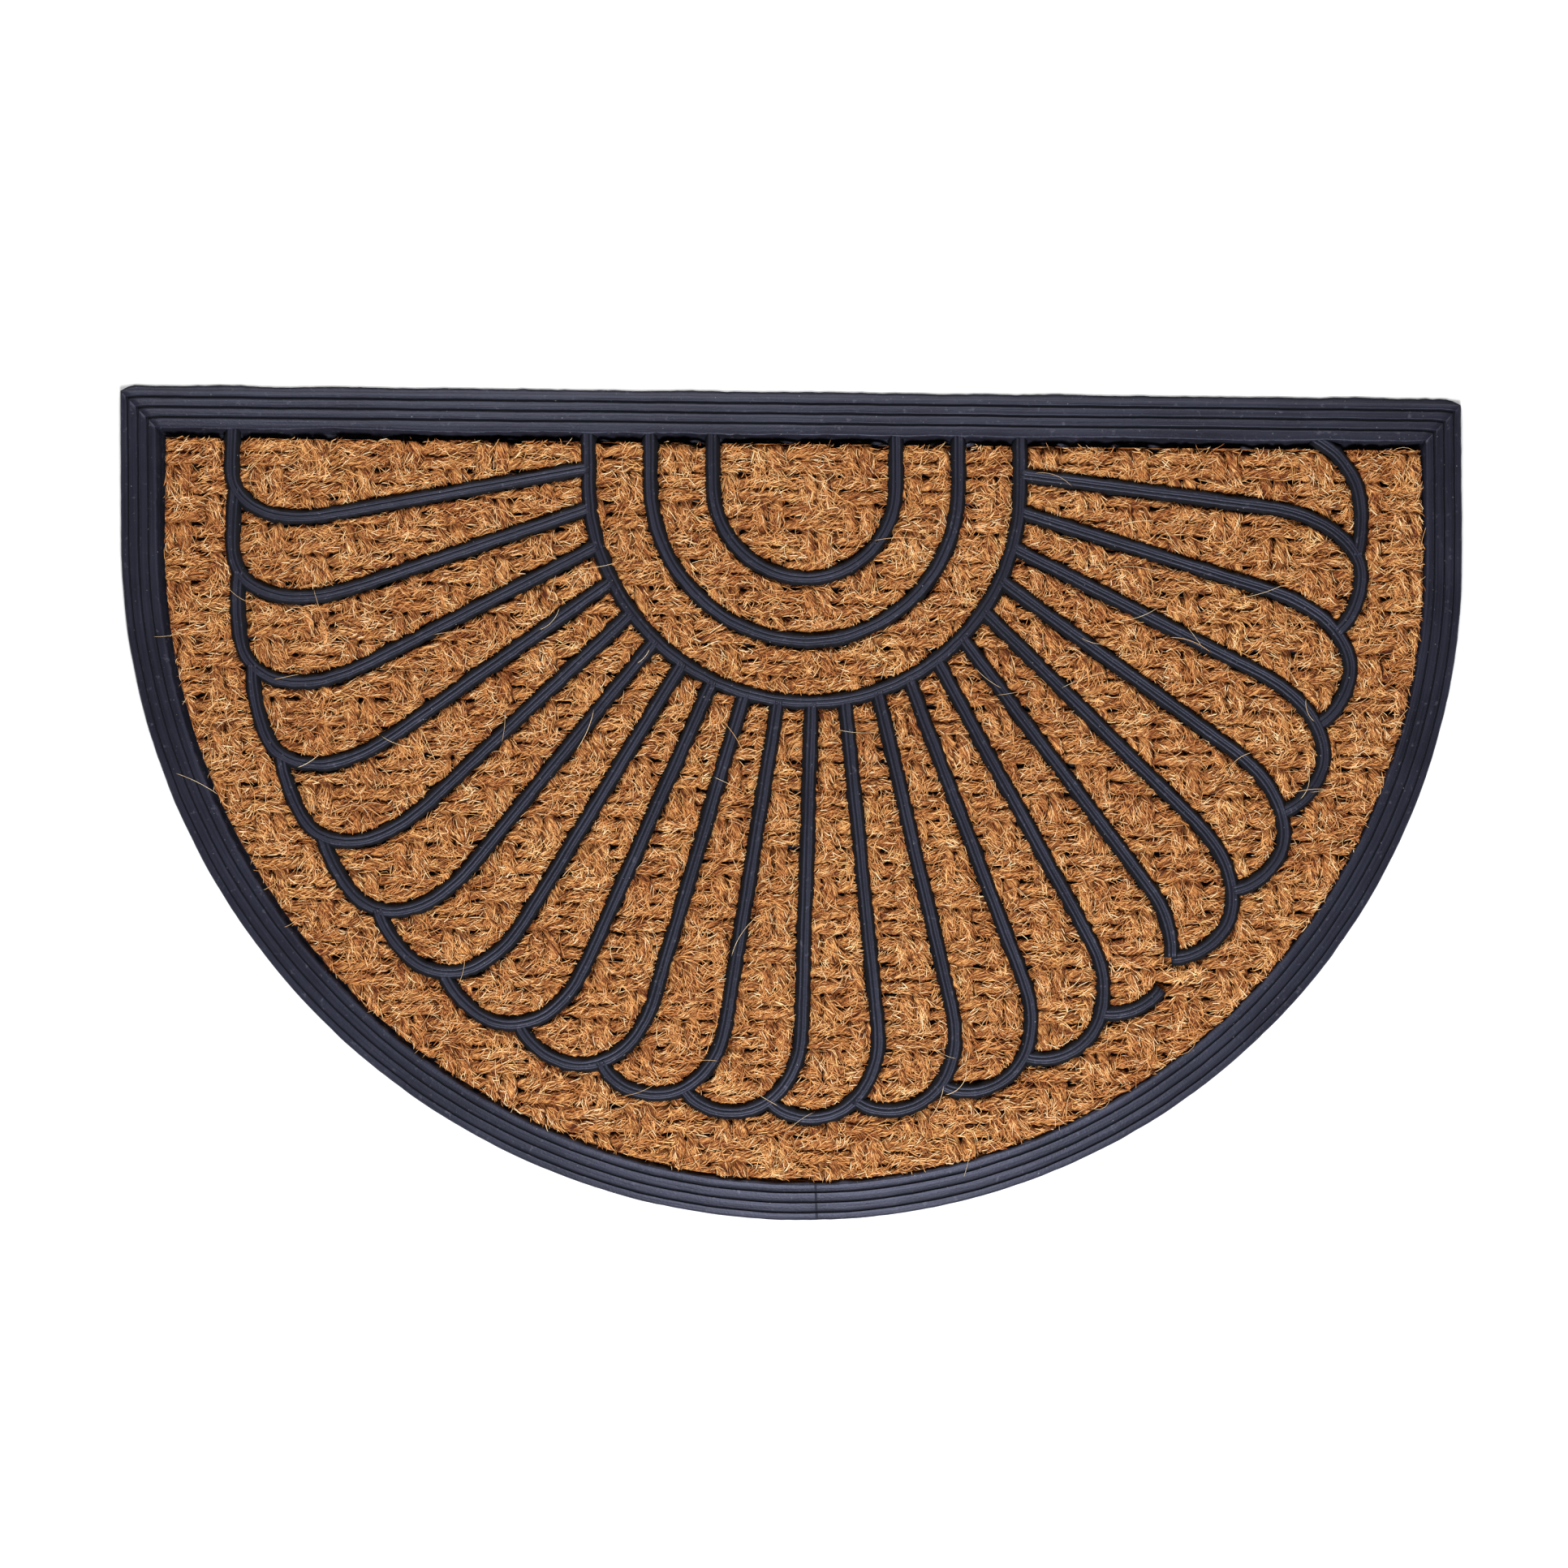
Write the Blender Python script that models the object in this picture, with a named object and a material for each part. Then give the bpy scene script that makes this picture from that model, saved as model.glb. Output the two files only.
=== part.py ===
"""Half-round doormat: a coir panel held in a moulded rubber backing, border and ribs.

Metres, +Z up. The straight edge runs along X on the +Y side, the round edge faces -Y.
Places on the mat are first worked out as (across, down): across from the middle of the
straight edge to the right, and down from that edge towards the round one.
"""
from math import atan2, cos, hypot, pi, radians, sin

import bmesh
import bpy
from mathutils import Vector
from mathutils.geometry import intersect_line_line_2d

# Outline: a rectangle that runs into a half circle
HALF_WIDTH = 0.375
STRAIGHT_SIDE = 0.085
DEPTH = STRAIGHT_SIDE + HALF_WIDTH
LEAN = 0.017              # the round end sits this much to the right for each metre down
OUTLINE_STEPS = 48

# Levels above the floor
BACKING_TOP = 0.0020
COIR_BOTTOM = 0.0023
RIB_BOTTOM = 0.0054
CHANNEL_FLOOR = 0.0051
RIB_TOP = 0.0096
COIR_TOP = 0.0115
CUTTER_TOP = 0.0140       # clear above the coir, so that a channel is open upwards

# Border, measured inwards from the outline
EDGE_HEIGHT = 0.0034
EDGE_ROUND = 0.0008
OUTER_RISE = 0.0044       # height of the border where its first band starts
INNER_RISE = 0.0100       # height of the border where its last band ends
GROOVE_INSETS = (0.0040, 0.0097, 0.0154)
GROOVE_HALF_WIDTH = 0.0011
GROOVE_DEPTH = 0.0010
BANDS_END = 0.0205
SLOPE_END = 0.0246

# Coir panel
COIR_INSET = 0.0253
COIR_EDGE_ROUND = 0.0012

# Ribs
RIB_FOOT = 0.0088
RIB_CREST = 0.0066
CHANNEL_CLEARANCE = 0.0006
LEVEL_STEP = 0.0001       # neighbouring ribs differ by this, so that no two tops are level
RIB_START_INSET = 0.0195  # ribs that leave the border start inside it

# Three nested arches
ARCH_CENTRE = (0.0074, 0.0500)
ARCH_RADII = (0.0510, 0.0860, 0.1205)
ARCH_STEPS = 22

# Fan of spokes. Angles in degrees about the arches' centre, 0 to the left and 90 straight
# down, as a smooth rule of the spoke's place from -1 (first) to 1 (last).
SPOKES = 21
FAN_ROOT_RADIUS = 0.1313
FAN_ROOT_RULE = (91.25, 88.16, -1.38, 4.91)
FAN_FAR_RADIUS = 0.2672
FAN_FAR_RULE = (89.52, 81.10, 1.41, 5.92)
SPOKE_OVERLAP = 0.0105    # how far a spoke reaches back into the outer arch

# Every spoke curls clockwise at its end and touches the rim, a line inside the border
RIM_CENTRE = (0.0030, 0.0870)
RIM_RADIUS = 0.3155
CURL_STEPS = 7
RETURN_STEPS = 8
# spoke number, depth and width of the bend, width and depth of its way back
CURLS = (
    (0, 0.050, 0.034, 0.060, 0.012),
    (1, 0.070, 0.043, 0.060, 0.012),
    (5, 0.062, 0.043, 0.050, 0.016),
    (9, 0.048, 0.043, 0.032, 0.025),
    (14, 0.046, 0.039, 0.034, 0.025),
    (20, 0.050, 0.031, 0.040, 0.025),
    (21, 0.062, 0.052, 0.040, 0.012),
)
SHORTEST_STEP = 0.0040    # the last step of a curl is no shorter than this
HALVINGS = 40             # steps of the search for a place on a spoke's line
BROKEN_SPOKE = 15
BREAK_ANGLES = (54.0, 68.0)


def clear_scene():
    for obj in list(bpy.data.objects):
        bpy.data.objects.remove(obj, do_unlink=True)


def centre_shift():
    """Half the difference between the right and left reach of the leaning outline."""
    right = LEAN * STRAIGHT_SIDE + HALF_WIDTH * hypot(1.0, LEAN)
    return (right - HALF_WIDTH) / 2


def place(point, height):
    across, down = point
    return Vector((across + LEAN * down - centre_shift(), DEPTH / 2 - down, height))


def outline(inset, height):
    """The mat's outline, moved inwards, as a ring of points at one height."""
    reach = HALF_WIDTH - inset
    ring = [(-reach, inset), (reach, inset)]
    for step in range(OUTLINE_STEPS + 1):
        angle = pi * step / OUTLINE_STEPS
        ring.append((reach * cos(angle), STRAIGHT_SIDE + reach * sin(angle)))
    return [place(point, height) for point in reversed(ring)]


def stack(name, rings):
    """A solid that grows from one ring of points to the next, closed at both ends."""
    mesh = bmesh.new()
    levels = [[mesh.verts.new(point) for point in ring] for ring in rings]
    count = len(rings[0])
    mesh.faces.new(levels[0])
    mesh.faces.new(levels[-1])
    for lower, upper in zip(levels, levels[1:]):
        for index in range(count):
            after = (index + 1) % count
            mesh.faces.new((lower[index], lower[after], upper[after], upper[index]))
    bmesh.ops.recalc_face_normals(mesh, faces=mesh.faces)
    data = bpy.data.meshes.new(name)
    mesh.to_mesh(data)
    mesh.free()
    obj = bpy.data.objects.new(name, data)
    bpy.context.scene.collection.objects.link(obj)
    return obj


def border_profile():
    """(inset, height) of the border from its outer edge to the backing's upper face."""
    rise = (INNER_RISE - OUTER_RISE) / BANDS_END
    profile = [(0.0, 0.0), (0.0, EDGE_HEIGHT), (EDGE_ROUND, OUTER_RISE)]
    for inset in GROOVE_INSETS:
        level = OUTER_RISE + rise * inset
        profile.append((inset - GROOVE_HALF_WIDTH, level))
        profile.append((inset, level - GROOVE_DEPTH))
        profile.append((inset + GROOVE_HALF_WIDTH, level))
    profile += [(BANDS_END, INNER_RISE), (SLOPE_END, BACKING_TOP)]
    return profile


def sweep(name, path, section):
    """A bar along a flat path; the section is a list of (sideways, height)."""
    rings = []
    last = len(path) - 1
    for index, point in enumerate(path):
        before = Vector(path[max(index - 1, 0)])
        after = Vector(path[min(index + 1, last)])
        here = Vector(point)
        arrive = (here - before).normalized() if index else (after - here).normalized()
        leave = (after - here).normalized() if index < last else arrive
        along = (arrive + leave).normalized()
        side = Vector((-along.y, along.x)) / along.dot(leave)
        rings.append([place(here + side * offset, height) for offset, height in section])
    return stack(name, rings)


def arch_point(radius, degrees):
    angle = radians(degrees)
    return Vector((ARCH_CENTRE[0] - radius * cos(angle), ARCH_CENTRE[1] + radius * sin(angle)))


def arch_path(radius):
    """One arch: a straight leg out of the border, a half round, and a leg back."""
    bend = [arch_point(radius, 180.0 * step / ARCH_STEPS) for step in range(ARCH_STEPS + 1)]
    first = Vector((bend[0].x, RIB_START_INSET))
    final = Vector((bend[-1].x, RIB_START_INSET))
    return [first] + bend + [final]


def to_rim(point):
    """Distance along the rim, clockwise from its lowest point, and depth inside it."""
    across = point[0] - RIM_CENTRE[0]
    down = point[1] - RIM_CENTRE[1]
    if down >= 0:
        return RIM_RADIUS * atan2(-across, down), RIM_RADIUS - hypot(across, down)
    turn = 1 if across < 0 else -1
    return turn * (RIM_RADIUS * pi / 2 - down), RIM_RADIUS - abs(across)


def from_rim(distance, depth):
    quarter = RIM_RADIUS * pi / 2
    reach = RIM_RADIUS - depth
    if abs(distance) <= quarter:
        angle = distance / RIM_RADIUS
        return Vector((RIM_CENTRE[0] - reach * sin(angle), RIM_CENTRE[1] + reach * cos(angle)))
    turn = 1 if distance > 0 else -1
    return Vector((RIM_CENTRE[0] - turn * reach, RIM_CENTRE[1] - abs(distance) + quarter))


def curl_sizes(spoke):
    """The row of CURLS for a spoke, blended between the rows given."""
    for low, high in zip(CURLS, CURLS[1:]):
        if low[0] <= spoke <= high[0]:
            share = (spoke - low[0]) / (high[0] - low[0])
            return [a + share * (b - a) for a, b in zip(low[1:], high[1:])]
    return CURLS[-1][1:]


def fan_angle(rule, spoke):
    at = (spoke - (SPOKES - 1) / 2) / ((SPOKES - 1) / 2)
    return sum(factor * at ** power for power, factor in enumerate(rule))


def line_at_depth(start, direction, depth):
    """The rim distance at which a spoke's straight line lies this deep inside the rim."""
    near, far = 0.0, 2 * RIM_RADIUS
    for _ in range(HALVINGS):
        middle = (near + far) / 2
        if to_rim(start + direction * middle)[1] > depth:
            near = middle
        else:
            far = middle
    return to_rim(start + direction * near)[0]


def crossing(start, end, path):
    """Where a step meets a rib's path, or nothing."""
    for a, b in zip(path, path[1:]):
        met = intersect_line_line_2d(start, end, a, b)
        if met:
            return met
    return None


def into_border(inner, outer):
    """Where a step from the coir goes in under the border's inner edge."""
    share = (RIB_START_INSET - outer.y) / (inner.y - outer.y)
    return outer.lerp(inner, share)


def spoke_parts(spoke, rib_before):
    """A spoke's straight start, its bend onto the rim, and its way back to the rib before.

    Each point comes with the angle, up to 90, that the bend has turned through.
    """
    bend_depth, bend_width, back_width, back_depth = curl_sizes(spoke)
    root = arch_point(FAN_ROOT_RADIUS, fan_angle(FAN_ROOT_RULE, spoke))
    far = arch_point(FAN_FAR_RADIUS, fan_angle(FAN_FAR_RULE, spoke))
    direction = (far - root).normalized()
    parts = [(0.0, root - direction * SPOKE_OVERLAP)]
    for step in range(CURL_STEPS + 1):
        degrees = 90.0 * step / CURL_STEPS
        depth = bend_depth * (1 - sin(radians(degrees)))
        shift = bend_width * (1 - cos(radians(degrees)))
        distance = line_at_depth(root, direction, depth) + shift
        parts.append((degrees, from_rim(distance, depth)))
    for step in range(1, RETURN_STEPS + 1):
        angle = radians(90.0 * step / RETURN_STEPS)
        point = from_rim(distance + back_width * sin(angle), back_depth * (1 - cos(angle)))
        end = rib_before and crossing(parts[-1][1], point, rib_before)
        if not end and point.y < RIB_START_INSET:
            end = into_border(parts[-1][1], point)
        if end and (end - parts[-1][1]).length < SHORTEST_STEP:
            parts.pop()
        parts.append((90.0, end or point))
        if end:
            break
    return parts


def out_of_border(path):
    """The end of a path that lies inside the border's inner edge, from where it starts."""
    first = next(index for index, point in enumerate(path) if point.y > RIB_START_INSET)
    return [into_border(path[first], path[first - 1])] + path[first:]


def fan_paths():
    """All ribs of the fan. The last is the curl of a spoke that lies above the straight edge."""
    paths = []
    rib_before = None
    for spoke in range(SPOKES + 1):
        parts = spoke_parts(spoke, rib_before)
        rib_before = [point for _, point in parts]
        if spoke == BROKEN_SPOKE:
            paths.append([point for degrees, point in parts if degrees <= BREAK_ANGLES[0]])
            paths.append([point for degrees, point in parts if degrees >= BREAK_ANGLES[1]])
        elif spoke == SPOKES:
            paths.append(out_of_border(rib_before[1:]))
        else:
            paths.append(rib_before)
    return paths


def bar_section(foot, crest, bottom, top):
    return [(-foot / 2, bottom), (foot / 2, bottom), (crest / 2, top), (-crest / 2, top)]


def guide_collection(name):
    collection = bpy.data.collections.new(name)
    bpy.context.scene.collection.children.link(collection)
    return collection


def make_guides(name, foot, crest, bottom, top):
    """One bar for every rib, in a collection that a Boolean adds or cuts."""
    collection = guide_collection(name)
    paths = [(arch_path(radius), 0) for radius in ARCH_RADII]
    for index, path in enumerate(fan_paths()):
        paths.append((path, 1 + index % 2))
    for index, (path, step) in enumerate(paths):
        lower = step * LEVEL_STEP
        bar = sweep(f"{name}_{index}", path, bar_section(foot, crest, bottom + lower, top - lower))
        bpy.context.scene.collection.objects.unlink(bar)
        collection.objects.link(bar)
        bar.hide_render = True
        bar.display_type = "WIRE"
    return collection


def combine(obj, collection, operation):
    boolean = obj.modifiers.new(operation.lower(), "BOOLEAN")
    boolean.operand_type = "COLLECTION"
    boolean.collection = collection
    boolean.operation = operation
    boolean.solver = "EXACT"


def give_material(obj, name, colour, roughness):
    material = bpy.data.materials.new(name)
    material.use_nodes = True
    shader = material.node_tree.nodes["Principled BSDF"]
    shader.inputs["Base Color"].default_value = (*colour, 1.0)
    shader.inputs["Roughness"].default_value = roughness
    shader.inputs["Metallic"].default_value = 0.0
    obj.data.materials.append(material)


def make_rubber_moulding():
    rings = [outline(inset, height) for inset, height in border_profile()]
    moulding = stack("rubber_moulding", rings)
    ribs = make_guides("rib_bar", RIB_FOOT, RIB_CREST, RIB_BOTTOM, RIB_TOP)
    combine(moulding, ribs, "UNION")
    give_material(moulding, "black_rubber", (0.030, 0.029, 0.040), 0.55)
    return moulding


def make_coir_panel():
    rings = [
        outline(COIR_INSET, COIR_BOTTOM),
        outline(COIR_INSET, COIR_TOP - COIR_EDGE_ROUND),
        outline(COIR_INSET + COIR_EDGE_ROUND, COIR_TOP),
    ]
    panel = stack("coir_panel", rings)
    width = RIB_FOOT + 2 * CHANNEL_CLEARANCE
    cutters = make_guides("channel_cutter", width, width, CHANNEL_FLOOR, CUTTER_TOP)
    combine(panel, cutters, "DIFFERENCE")
    give_material(panel, "coir", (0.35, 0.15, 0.055), 0.9)
    return panel


def main():
    clear_scene()
    make_rubber_moulding()
    make_coir_panel()


main()
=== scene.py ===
"""Looks of the half-round coir doormat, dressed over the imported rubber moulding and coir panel.

Metres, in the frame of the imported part. Places on the mat are first worked out as (across,
down): across from the middle of the straight edge, and down from that edge to the round one.
"""

import random
from collections import namedtuple
from math import atan2, ceil, cos, hypot, pi, radians, sin, sqrt

import bmesh
import bpy
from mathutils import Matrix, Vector, noise
from mathutils.geometry import intersect_line_line_2d
from mathutils.kdtree import KDTree


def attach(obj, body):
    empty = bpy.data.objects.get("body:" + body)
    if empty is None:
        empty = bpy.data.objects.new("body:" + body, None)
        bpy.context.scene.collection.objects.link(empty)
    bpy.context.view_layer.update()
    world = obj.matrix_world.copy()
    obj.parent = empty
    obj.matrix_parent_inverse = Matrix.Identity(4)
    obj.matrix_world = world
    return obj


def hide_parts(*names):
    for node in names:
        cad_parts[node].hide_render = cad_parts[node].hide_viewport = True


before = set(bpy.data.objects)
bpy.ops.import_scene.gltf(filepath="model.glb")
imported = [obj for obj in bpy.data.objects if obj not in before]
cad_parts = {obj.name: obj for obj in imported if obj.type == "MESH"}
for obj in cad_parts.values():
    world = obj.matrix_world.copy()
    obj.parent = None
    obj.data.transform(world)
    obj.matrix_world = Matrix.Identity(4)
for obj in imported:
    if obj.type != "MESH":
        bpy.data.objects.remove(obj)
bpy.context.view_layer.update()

# Outline and heights of the mat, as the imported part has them
HALF_WIDTH = 0.375
STRAIGHT_SIDE = 0.085
DEPTH = STRAIGHT_SIDE + HALF_WIDTH
LEAN = 0.017
BACKING_TOP = 0.0020
COIR_BOTTOM = 0.0023
RIB_BOTTOM = 0.0050
RIB_TOP = 0.0097

# The coir starts this far inside the outline, and lies a little off its middle
COIR_INSET = 0.0239
COIR_SHIFT = (0.0013, 0.0011)
COIR_TOP_GAP = 0.0014
COIR_SIDE_GAP = 0.0014

# View: the camera hangs over this place on the mat, turned a little
VIEW_POINT = (-0.0021, 0.0139)
VIEW_WIDTH = 0.8750
ROLL = 0.62
LENS = 120.0
SENSOR = 36.0

# Studio: name, place, size, power and colour of each lamp
LAMPS = (
    ("lamp_behind", (-0.40, 1.35, 1.0), 0.5, 11.0, (1.0, 0.985, 0.96)),
    ("lamp_before", (0.12, -1.05, 1.5), 0.8, 53.0, (0.97, 0.985, 1.0)),
    ("wall_behind", (0.0, 1.30, 0.42), 0.8, 9.5, (1.0, 1.0, 1.0)),
)
SKY_STRENGTH = 0.10
FLOOR_HALF = 3.0
FLOOR_TONE = (0.86, 0.86, 0.86, 1.0)


def centre_shift():
    """How far the middle of the leaning outline's box lies to the right of the outline's own."""
    right = LEAN * STRAIGHT_SIDE + HALF_WIDTH * hypot(1.0, LEAN)
    return (right - HALF_WIDTH) / 2


def place(point, height):
    """A place on the mat as a point in the frame."""
    across, down = point
    return Vector((across + LEAN * down - centre_shift(), DEPTH / 2 - down, height))


def ripple(x, y, z=0.0):
    """Smooth noise, mostly between -0.5 and 0.5."""
    return noise.noise(Vector((x, y, z)))


def new_object(name, data):
    obj = bpy.data.objects.new(name, data)
    bpy.context.scene.collection.objects.link(obj)
    return obj


def mesh_data(mesh, name):
    data = bpy.data.meshes.new(name)
    mesh.to_mesh(data)
    mesh.free()
    return data


def finished_mesh(mesh, name, smooth=True):
    data = mesh_data(mesh, name)
    data.polygons.foreach_set("use_smooth", [smooth] * len(data.polygons))
    return new_object(name, data)


def joined(name, parts):
    """One object with the meshes of all the parts."""
    mesh = bmesh.new()
    for data in parts:
        mesh.from_mesh(data)
        bpy.data.meshes.remove(data)
    return finished_mesh(mesh, name)


def dress(piece, material):
    """A piece with its material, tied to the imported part's one body."""
    piece.data.materials.append(material)
    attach(piece, "root")
    return piece


# Camera and light

def make_camera():
    data = bpy.data.cameras.new("camera")
    data.lens = LENS
    data.sensor_width = SENSOR
    camera = new_object("camera", data)
    camera.location = (*VIEW_POINT, VIEW_WIDTH * LENS / SENSOR + RIB_TOP)
    camera.rotation_euler = (0.0, 0.0, radians(ROLL))
    bpy.context.scene.camera = camera


def make_light(name, location, size, power, colour):
    data = bpy.data.lights.new(name, "AREA")
    data.shape = "DISK"
    data.size = size
    data.energy = power
    data.color = colour
    light = new_object(name, data)
    light.location = location
    light.rotation_euler = (-Vector(location)).to_track_quat("-Z", "Y").to_euler()


def make_studio():
    world = bpy.data.worlds.new("studio")
    bpy.context.scene.world = world
    world.use_nodes = True
    sky = world.node_tree.nodes["Background"]
    sky.inputs["Color"].default_value = (1.0, 1.0, 1.0, 1.0)
    sky.inputs["Strength"].default_value = SKY_STRENGTH
    for lamp in LAMPS:
        make_light(*lamp)
    bpy.context.scene.view_settings.view_transform = "Standard"
    mesh = bmesh.new()
    bmesh.ops.create_grid(mesh, x_segments=1, y_segments=1, size=FLOOR_HALF)
    floor = finished_mesh(mesh, "floor", smooth=False)
    floor.data.materials.append(floor_finish())


# Materials

RUBBER_TONES = (
    (0.34, (0.0080, 0.0081, 0.0131)),
    (0.50, (0.0142, 0.0143, 0.0234)),
    (0.68, (0.0231, 0.0230, 0.0370)),
)
SCUFF_TONE = (0.11, 0.11, 0.14, 1.0)
# near-black painted shade for the rubber's flanks, grooves and slopes
PAINTED_SHADE_TONE = (0.0030, 0.0036, 0.0042, 1.0)
SPECK_TONE = (0.26, 0.26, 0.25, 1.0)
RUBBER_SHEEN = (0.72, 0.75, 1.0, 1.0)
PATCH_TINTS = (
    (0.36, (0.80, 0.68, 0.60)),
    (0.46, (0.95, 0.91, 0.86)),
    (0.54, (1.0, 1.0, 1.0)),
    (0.64, (1.05, 1.10, 1.06)),
)
# yarn tones, darkened throughout as painted shade under the loose fibres, and darkest as painted shade
# between the strands
YARN_TONES_AND_SHADE = (
    (0.42, (0.070, 0.014, 0.006)),
    (0.48, (0.22, 0.063, 0.016)),
    (0.53, (0.52, 0.195, 0.053)),
    (0.60, (0.80, 0.44, 0.165)),
)
FIBRE_TONES = (
    (0.0, (0.095, 0.020, 0.005)),
    (0.25, (0.33, 0.096, 0.022)),
    (0.5, (0.64, 0.270, 0.078)),
    (0.75, (0.86, 0.495, 0.20)),
    (1.0, (0.95, 0.75, 0.47)),
)


class Wire:
    """A shader socket that adds, subtracts and multiplies as a number does."""

    def __init__(self, finish, socket):
        self.finish = finish
        self.socket = socket

    def math(self, operation, first, second):
        return self.finish.add("ShaderNodeMath", {"operation": operation}, {0: first, 1: second})

    def __add__(self, other):
        return self.math("ADD", self, other)

    def __sub__(self, other):
        return self.math("SUBTRACT", self, other)

    def __rsub__(self, other):
        return self.math("SUBTRACT", other, self)

    def __mul__(self, other):
        return self.math("MULTIPLY", self, other)

    def __rmul__(self, other):
        return self.math("MULTIPLY", other, self)


class Finish:
    """A material on the Principled shader, with one method that adds any other node."""

    def __init__(self, name):
        self.material = bpy.data.materials.new(name)
        self.material.use_nodes = True
        self.nodes = self.material.node_tree.nodes
        self.links = self.material.node_tree.links
        self.shader = self.nodes["Principled BSDF"]

    def put(self, socket, value):
        if isinstance(value, Wire):
            self.links.new(value.socket, socket)
        else:
            socket.default_value = value

    def add(self, kind, settings=None, values=None, output=0):
        node = self.nodes.new(kind)
        for name, value in (settings or {}).items():
            if name == "stops":
                while len(node.color_ramp.elements) < len(value):
                    node.color_ramp.elements.new(0.5)
                for element, (position, colour) in zip(node.color_ramp.elements, value):
                    element.position = position
                    element.color = (*colour, 1.0)
            else:
                setattr(node, name, value)
        for key, value in (values or {}).items():
            self.put(node.inputs[key], value)
        return Wire(self, node.outputs[output])

    def set(self, **values):
        for name, value in values.items():
            self.put(self.shader.inputs[name.replace("_", " ")], value)

    def place(self):
        return self.add("ShaderNodeTexCoord", output="Object")

    def attribute(self, name, output="Vector"):
        return self.add("ShaderNodeAttribute", {"attribute_name": name}, output=output)

    def speckle(self, where, scale, detail=2.0, roughness=0.5):
        values = {"Vector": where, "Scale": scale, "Detail": detail, "Roughness": roughness}
        return self.add("ShaderNodeTexNoise", {}, values)

    def between(self, value, low, high):
        """0 below low, 1 above high, and a soft step from one to the other."""
        values = {"Value": value, 1: low, 2: high}
        return self.add("ShaderNodeMapRange", {"interpolation_type": "SMOOTHSTEP"}, values)

    def colours(self, factor, stops):
        return self.add("ShaderNodeValToRGB", {"stops": stops}, {0: factor})

    def blend(self, factor, first, second, kind="MIX"):
        settings = {"data_type": "RGBA", "blend_type": kind}
        return self.add("ShaderNodeMix", settings, {0: factor, 6: first, 7: second}, 2)

    def bump(self, height, distance):
        self.set(Normal=self.add("ShaderNodeBump", {}, {"Distance": distance, "Height": height}))


def floor_finish():
    finish = Finish("studio_floor")
    finish.set(Base_Color=FLOOR_TONE, Roughness=0.9)
    return finish.material


def rubber_finish():
    """Moulded rubber: its crests have the tone of their wear, and its flanks, grooves and slopes have a
    near-black painted shade.
    """
    finish = Finish("moulded_rubber")
    where = finish.place()
    crest = finish.attribute("crest", "Fac")
    lines = finish.speckle(finish.attribute("run"), 1.0)
    cloudy = finish.speckle(where, 22.0, 3.0, 0.6)
    grain = finish.speckle(where, 900.0, 2.0, 0.6)
    scuff = finish.speckle(where, 260.0, 3.0, 0.65)
    speck = finish.speckle(where, 620.0, 1.0)
    # painted shade: where little painted light is kept, the tone turns to the near-black painted shade tone,
    # and scuffs bring back the worn tone
    wear_and_painted_light = finish.between(crest + 0.7 * scuff - 0.35, 0.25, 0.75)
    tone = finish.colours(cloudy * 0.5 + lines * 0.5, RUBBER_TONES)
    tone = finish.blend(finish.between(scuff, 0.60, 0.74) * 0.35, tone, SCUFF_TONE)
    tone = finish.blend(wear_and_painted_light, PAINTED_SHADE_TONE, tone)
    tone = finish.blend(finish.between(speck, 0.76, 0.82) * 0.7, tone, SPECK_TONE)
    finish.set(Base_Color=tone, Roughness=0.68 - 0.28 * wear_and_painted_light + 0.1 * grain)
    finish.set(Specular_IOR_Level=0.30, Specular_Tint=RUBBER_SHEEN)
    finish.bump(grain * 0.4 + scuff * 0.3 + lines * 0.6, 0.00030)
    return finish.material


def patchy(finish, tone):
    """The tone with patches of redder and more golden coir."""
    where = finish.place()
    patch = finish.speckle(where, 34.0) * 0.5 + finish.speckle(where, 150.0) * 0.5
    return finish.blend(1.0, tone, finish.colours(patch, PATCH_TINTS), "MULTIPLY")


def yarn_finish():
    """Spun coir: fine strands that run along the yarn and sway a little, in tones darkened with painted
    shade under the loose fibres and between the strands.
    """
    finish = Finish("coir_yarn")
    strands = finish.attribute("strand")
    sway = finish.speckle(strands, 0.25)
    bent = finish.add("ShaderNodeVectorMath", {"operation": "ADD"}, {0: strands, 1: sway * 5.0})
    fine = finish.speckle(bent, 1.6, 3.0, 0.65)
    coarse = finish.speckle(strands, 0.42)
    tone = finish.colours(fine * 0.7 + coarse * 0.3, YARN_TONES_AND_SHADE)
    finish.set(Base_Color=patchy(finish, tone), Roughness=0.85, Specular_IOR_Level=0.2)
    finish.bump(fine * 0.8 + coarse * 0.4, 0.0012)
    return finish.material


def hair_finish():
    """Loose fibres, each of one shade from dark red-brown to straw, with laid ones painted lighter the
    higher they lie.
    """
    finish = Finish("coir_fibre")
    tone = finish.colours(finish.attribute("shade", "Fac"), FIBRE_TONES)
    finish.set(Base_Color=patchy(finish, tone), Roughness=0.55, Specular_IOR_Level=0.35)
    return finish.material


# Rubber border and backing, grown ring by ring from the outer edge

GROOVES = (0.0042, 0.0099, 0.0156)
GROOVE_HALF = 0.0009
GROOVE_DEPTH = 0.0013
GROOVE_NARROWER = 0.4
EDGE_HEIGHT = 0.0034
BANDS_LOW = 0.0044
BANDS_HIGH = 0.0100
BANDS_END = 0.0205
SLOPE_END = 0.0243
ARC_PARTS = 300
SIDE_PARTS = 20
TOP_PARTS = 190
SEAM_START = 0.001
SEAM_HALF = 0.0004
SEAM_DEPTH = 0.0002
SPLICE_PART = 147
SPLICE_TURNS = (-2.2, -1, 0, 1, 2.2)
SPLICE_DEEPER = 2.5
# most painted light kept along the splice's lowered seam, so the seam is painted in shade
SPLICE_PAINTED_LIGHT = 0.35
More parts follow.
